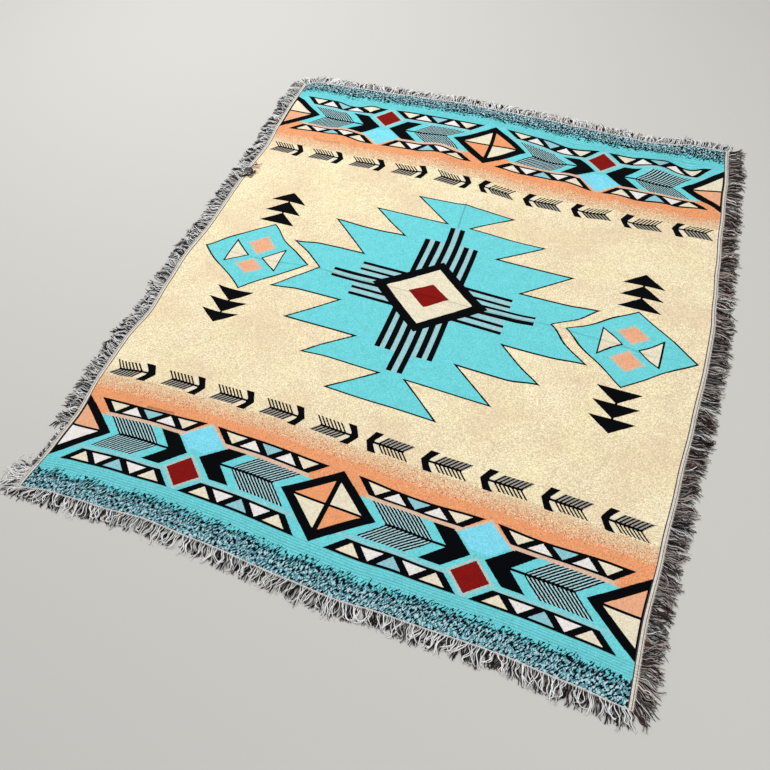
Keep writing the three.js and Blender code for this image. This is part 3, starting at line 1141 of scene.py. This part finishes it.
@dataclass(frozen=True)
class Fringe:
    """One side's loose yarns: clumped in locks that lean and bend, each yarn with its own curl."""

    laid: LaidCloth
    node: str
    out: Point
    layers: tuple[Layer, ...]
    start_fan: float
    end_fan: float
    seed: int
    tuck: Tuck = Tuck(0, 0, 1)
    habit: Habit = field(default_factory=Habit)
    stations: int = 13
    lock: float = 9
    lean: float = 13
    fan_reach: float = 110
    floor_gap: float = 0.1

    def _roots(self, share: Array) -> tuple[Array, Array]:
        """Where on the flat cloth each share of this side lies, going round it anticlockwise."""
        half_u, half_v = self.laid.width / 2, self.laid.length / 2
        run = 2 * share - 1
        out_u, out_v = self.out
        u = out_u * half_u - out_v * run * half_u
        v = out_v * half_v + out_u * run * half_v
        return u, v

    def build(self) -> bpy.types.Object:
        """Makes the yarns of every layer and joins them in one mesh."""
        rng = np.random.default_rng(self.seed)
        made = [self._layer(rng, layer) for layer in self.layers]
        line, thick, colour = (np.concatenate(parts) for parts in zip(*made))
        return self._tubes(line, thick, colour)

    def _layer(self, rng: np.random.Generator, layer: Layer) -> tuple[Array, Array, Array]:
        """Works out the line of every yarn of a layer, its thickness along the line and its colour.

        A line starts on the cloth's edge and heads out at its lock's lean plus its own, turning by its bend on
        the way and by its hook at the tip. Sideways it swings by a sine of its own length and phase, and it draws
        in to its lock's middle. Its height is an arch that ends on the floor.
        """
        n, habit = layer.yarns, self.habit
        each = (n, 1)
        span = self.laid.width if self.out[0] == 0 else self.laid.length
        low, high = layer.reach
        spot = np.arange(n) + rng.uniform(-habit.scatter, habit.scatter, n)
        share = np.sort(np.clip(low + (high - low) * spot / n, low, high))[:, None]
        places = np.cumsum(rng.uniform(*habit.lock_step, int(span / self.lock)))
        middles = places / (places[-1] + 0.5)
        lock = np.abs(share - middles).argmin(axis=1)
        locks = self._locks(rng, layer, middles * span)
        lean, bend, length, lift, hook, waves, phase, swing = (row[lock, None] for row in locks)
        from_start = 1 - ease(share * span / self.fan_reach)
        from_end = 1 - ease((1 - share) * span / self.fan_reach)
        fan = from_end * self.end_fan - from_start * self.start_fan
        lean = lean * (1 - from_start - from_end) + fan + rng.normal(0, habit.lean, each)
        bend = bend + rng.normal(0, layer.bend * habit.bend, each)
        hook = hook * habit.hook_kept + rng.normal(0, layer.hook * habit.hook, each)
        length = layer.length * length * rng.uniform(*habit.length, each)
        length *= np.where((share > self.tuck.start) & (share < self.tuck.end), self.tuck.shown, 1.0)
        t = np.linspace(0, 1, self.stations)[None]
        tip = ease((t - habit.hook_from) / (1 - habit.hook_from))
        heading = np.radians(lean + bend * (t - habit.bend_from) * habit.bend_gain + hook * tip)
        step = length / (self.stations - 1)
        ways = (np.cos(heading), np.sin(heading))
        outward, onward = (np.cumsum(way * step, axis=1) - way[:, :1] * step for way in ways)
        waves = waves + rng.normal(0, habit.waves, each)
        phase = phase + rng.normal(0, habit.phase, each)
        swing = layer.curl * swing * rng.uniform(*habit.swing, each)
        beat = np.sin(2 * np.pi * waves * t + phase)
        onward += swing * (beat - np.sin(phase)) * ease(t * habit.swing_in)
        onward += (middles[lock, None] - share) * span * layer.clump * ease(t * habit.gather_in)
        arch = lift * rng.uniform(*habit.rise, each) * np.sin(np.pi * np.clip(t * habit.arch_reach, 0, 1))
        arch += habit.wobble * swing * np.abs(beat)
        risen = ease(t * habit.rise_in)
        height = habit.root_height * (1 - risen) + layer.radius * habit.rest_height + arch * risen
        taper = 1 - habit.taper * ease((t - habit.taper_from) / (1 - habit.taper_from))
        thick = layer.radius * taper * rng.uniform(*habit.thick, each)
        return self._lie(share, outward, onward, height, layer.turned_back), thick, self._colours(rng, layer)

    def _locks(self, rng: np.random.Generator, layer: Layer, middles: Array) -> tuple[Array, ...]:
        """The lean, bend, share of length, lift, hook, waves, phase and swing of the lock at each middle, in mm."""
        m, habit = len(middles), self.habit
        swayed = self.lean * np.sin(middles / habit.lean_wave + self.seed)
        return (
            swayed + rng.normal(0, self.lean * habit.lean_spread, m),
            rng.normal(0, layer.bend, m),
            rng.uniform(*habit.lock_length, m),
            rng.uniform(*habit.lock_lift, m) * layer.lift,
            rng.normal(0, layer.hook, m),
            rng.uniform(*habit.lock_waves, m),
            rng.uniform(0, 2 * np.pi, m),
            rng.uniform(*habit.lock_swing, m),
        )

    def _lie(self, share: Array, outward: Array, onward: Array, height: Array, turned_back: bool) -> Array:
        """The yarns' lines in metres: on the floor beyond the edge, or over the cloth where they are turned back."""
        u, v = self._roots(share)
        out_u, out_v = self.out
        if turned_back:
            u, v = u - outward * out_u - onward * out_v, v - outward * out_v + onward * out_u
            line = self.laid.place(u, v, self.laid.thickness)
            line[..., 2] += height * MM
            return line
        outward = outward - self.habit.root_inset
        way = np.stack([outward * out_u - onward * out_v, outward * out_v + onward * out_u], axis=-1)
        line = np.repeat(self.laid.place(u, v), self.stations, axis=1)
        line[..., :2] += way * MM
        line[..., 2] = height * MM
        return line

    def _colours(self, rng: np.random.Generator, layer: Layer) -> Array:
        """A colour for each yarn, drawn from the layer's mix, a little lighter or darker from one to the next."""
        shares = np.array([mix.share for mix in layer.mixes])
        picks = rng.choice(len(shares), layer.yarns, p=shares / shares.sum())
        table = np.array([srgb(mix.yarn.value) for mix in layer.mixes])
        colour = table[picks] * rng.uniform(*self.habit.tone, layer.yarns)[:, None]
        colour[:, 3] = 1.0
        return np.clip(colour, 0, 1)

    def _tubes(self, line: Array, thick: Array, colour: Array) -> bpy.types.Object:
        """Three-sided tubes along the yarns' lines, all in one mesh, closed at both ends.

        Args:
            line: x, y and z of each station of each yarn, in metres.
            thick: radius at each station of each yarn, in mm.
            colour: each yarn's colour.

        Returns:
            The fringe as one object.
        """
        n, m = line.shape[:2]
        way = np.gradient(line, axis=1)
        way /= np.linalg.norm(way, axis=2, keepdims=True)
        side = np.cross(way, [0.0, 0.0, 1.0])
        side /= np.maximum(np.linalg.norm(side, axis=2, keepdims=True), 1e-6)
        up = np.cross(side, way)
        angles = np.radians([90.0, 210.0, 330.0])[:, None]
        around = side[:, :, None] * np.cos(angles) + up[:, :, None] * np.sin(angles)
        points = line[:, :, None] + around * (MM * thick)[..., None, None]
        points[..., 2] = np.maximum(points[..., 2], self.floor_gap * MM)
        base = (np.arange(n)[:, None, None] * m + np.arange(m - 1)[None, :, None]) * 3
        a, b = base + np.arange(3), base + (np.arange(3) + 1) % 3
        sides = np.stack([a, b, b + 3, a + 3], axis=-1).reshape(-1, 4)
        first = np.arange(n)[:, None] * m * 3
        caps = np.concatenate([first + [2, 1, 0], first + (m - 1) * 3 + [0, 1, 2]])
        mesh = bpy.data.meshes.new(self.node + "_yarns")
        mesh.from_pydata(points.reshape(-1, 3).tolist(), [], sides.tolist() + caps.tolist())
        mesh.polygons.foreach_set("use_smooth", np.ones(len(mesh.polygons), bool))
        stored = mesh.color_attributes.new("Yarn", "FLOAT_COLOR", "POINT")
        stored.data.foreach_set("color", np.repeat(colour, m * 3, axis=0).ravel())
        mesh.materials.append(yarn_material())
        return stand(self.node + "_yarns", mesh)


def yarn_material(finish: YarnFinish = YarnFinish()) -> bpy.types.Material:
    """Loose cotton yarn: each tube's own colour, matt with a soft bright edge. One material for all fringes."""
    name = "loose_cotton_yarn"
    if name in bpy.data.materials:
        return bpy.data.materials[name]
    graph = Graph(name)
    colour = graph.add("ShaderNodeAttribute", out="Color", attribute_name="Yarn")
    return graph.finish(colour, finish)


def blend(**shares: float) -> tuple[YarnMix, ...]:
    """Fringe yarns by name, each with how much of the fringe it makes up."""
    return tuple(YarnMix(FringeYarn[name], share) for name, share in shares.items())


def throw_fringes(laid: LaidCloth) -> list[Fringe]:
    """The four fringes, with the colours and the lie that each side has."""
    # The dark and earth mixes are the fringe's own black and brown yarns, laid as a dense under layer. They also
    # fill the gaps between the pale locks with dark, so they are partly real yarn and partly painted shade between
    # the strands.
    dark = blend(BLACK=0.8, BROWN=0.12, GREY=0.08)
    pale = blend(WHITE=0.8, PALE_GREY=0.16, GREY=0.04)
    earth = blend(BLACK=0.45, BROWN=0.4, GREY=0.15)
    brown = blend(BLACK=0.24, BROWN=0.24, PINK_GREY=0.24, GREY=0.14, MAROON=0.07, WHITE=0.07)
    mixed = blend(WHITE=0.55, PALE_GREY=0.22, GREY=0.08, BLACK=0.15)
    front = (
        Layer(dark, 800, 34, 1.15, 1.5, 2.2, 30, 22, 0.15),
        Layer(pale, 300, 39, 1.3, 5, 4.2, 75, 28, 0.35),
    )
    right = (
        Layer(earth, 800, 41, 1.05, 1.5, 2.4, 25, 22, 0.25),
        Layer(brown, 560, 45, 1.1, 5, 3.8, 45, 26, 0.5),
    )
    back = (
        Layer(dark, 600, 29, 1.1, 1.5, 2.2, 30, 22, 0.2),
        Layer(pale, 440, 37, 1.25, 4, 3.4, 65, 26, 0.4),
    )
    left = (
        Layer(dark, 780, 42, 1.05, 1.5, 2.4, 25, 22, 0.25),
        Layer(mixed, 480, 38, 1.15, 5, 3.8, 55, 28, 0.5),
        Layer(pale, 22, 62, 1.2, 5, 4.5, 150, 60, 0.5, (0.966, 0.999)),
        Layer(brown, 46, 44, 1.1, 2.5, 4.5, 100, 55, 0.8, (0.298, 0.326), True),
    )
    tuck = Tuck(0.893, 0.963, 0.28)
    return [
        Fringe(laid, "fringe_front", (0, -1), front, 48, 30, 11),
        Fringe(laid, "fringe_right", (1, 0), right, 44, 16, 12),
        Fringe(laid, "fringe_back", (0, 1), back, 20, 34, 13),
        Fringe(laid, "fringe_left", (-1, 0), left, 26, 22, 14, tuck),
    ]


# The studio


class Lamp(NamedTuple):
    """A square soft light that faces the middle of the throw, in metres and watts."""

    name: str
    place: Triple
    size: float
    watts: float

    def build(self) -> None:
        """Hangs the light."""
        data = bpy.data.lights.new(self.name, "AREA")
        data.size = self.size
        data.energy = self.watts
        stand(self.name, data).matrix_world = Matrix.Translation(self.place) @ aim(self.place, (0.0, 0.0, 0.0))


def aim(place: Triple, target: Triple) -> Matrix:
    """The turn that makes a camera or a lamp at that place look at the target."""
    return (Vector(target) - Vector(place)).to_track_quat("-Z", "Y").to_matrix().to_4x4()


@dataclass(frozen=True)
class Studio:
    """A pale floor, soft light from high up, and the camera at the photograph's viewing angle."""

    eye: Triple = (0.4103, -1.0812, 1.3505)
    target: Triple = (-0.0042, -0.2693, 0)
    roll: float = -7.04
    focal: float = 33.706
    sensor: float = 36
    floor_size: float = 40
    floor: FloorFinish = field(default_factory=FloorFinish)
    lamps: tuple[Lamp, ...] = (
        Lamp("key", (-1.5, 1.3, 2.6), 1.6, 68),
        Lamp("fill", (1.9, -1.2, 2.4), 2.6, 34),
    )
    surround: str = "#EEF1F4"
    surround_strength: float = 0.52

    def camera(self) -> None:
        """Aims a plain camera at the throw and rolls it a little about its own axis."""
        data = bpy.data.cameras.new("camera")
        data.lens = self.focal
        data.sensor_width = self.sensor
        made = stand("camera", data)
        turn = aim(self.eye, self.target) @ Matrix.Rotation(math.radians(self.roll), 4, "Z")
        made.matrix_world = Matrix.Translation(self.eye) @ turn
        bpy.context.scene.camera = made

    def build(self) -> bpy.types.Object:
        """Makes the floor, the lights and the pale surroundings, and returns the floor."""
        half = self.floor_size / 2
        corners = [(-half, -half, 0), (half, -half, 0), (half, half, 0), (-half, half, 0)]
        mesh = bpy.data.meshes.new("floor")
        mesh.from_pydata(corners, [], [(0, 1, 2, 3)])
        graph = Graph("pale_floor")
        mesh.materials.append(graph.finish(graph.plain_colour(self.floor.colour), self.floor))
        floor = stand("floor", mesh)
        for lamp in self.lamps:
            lamp.build()
        world = bpy.data.worlds.new("studio")
        world.use_nodes = True
        shade = world.node_tree.nodes["Background"]
        shade.inputs["Color"].default_value = srgb(self.surround)
        shade.inputs["Strength"].default_value = self.surround_strength
        scene = bpy.context.scene
        scene.world = world
        scene.view_settings.view_transform = "Standard"
        scene.view_settings.look = "None"
        return floor


def main() -> None:
    """Builds the camera, the cloth, the fringes and the studio, attaching the cloth and fringes to the root body and
    hiding the solids that they replace.
    """
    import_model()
    studio = Studio()
    studio.camera()
    laid = LaidCloth()
    cloth = ThrowCloth(laid).build()
    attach(cloth, "root")
    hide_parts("cloth")
    LOG.info("cloth: %d faces", len(cloth.data.polygons))
    for fringe in throw_fringes(laid):
        piece = fringe.build()
        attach(piece, "root")
        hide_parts(fringe.node)
        LOG.info("%s: %d faces", fringe.node, len(piece.data.polygons))
    studio.build()


if __name__ == "__main__":
    logging.basicConfig(level=logging.INFO)
    main()
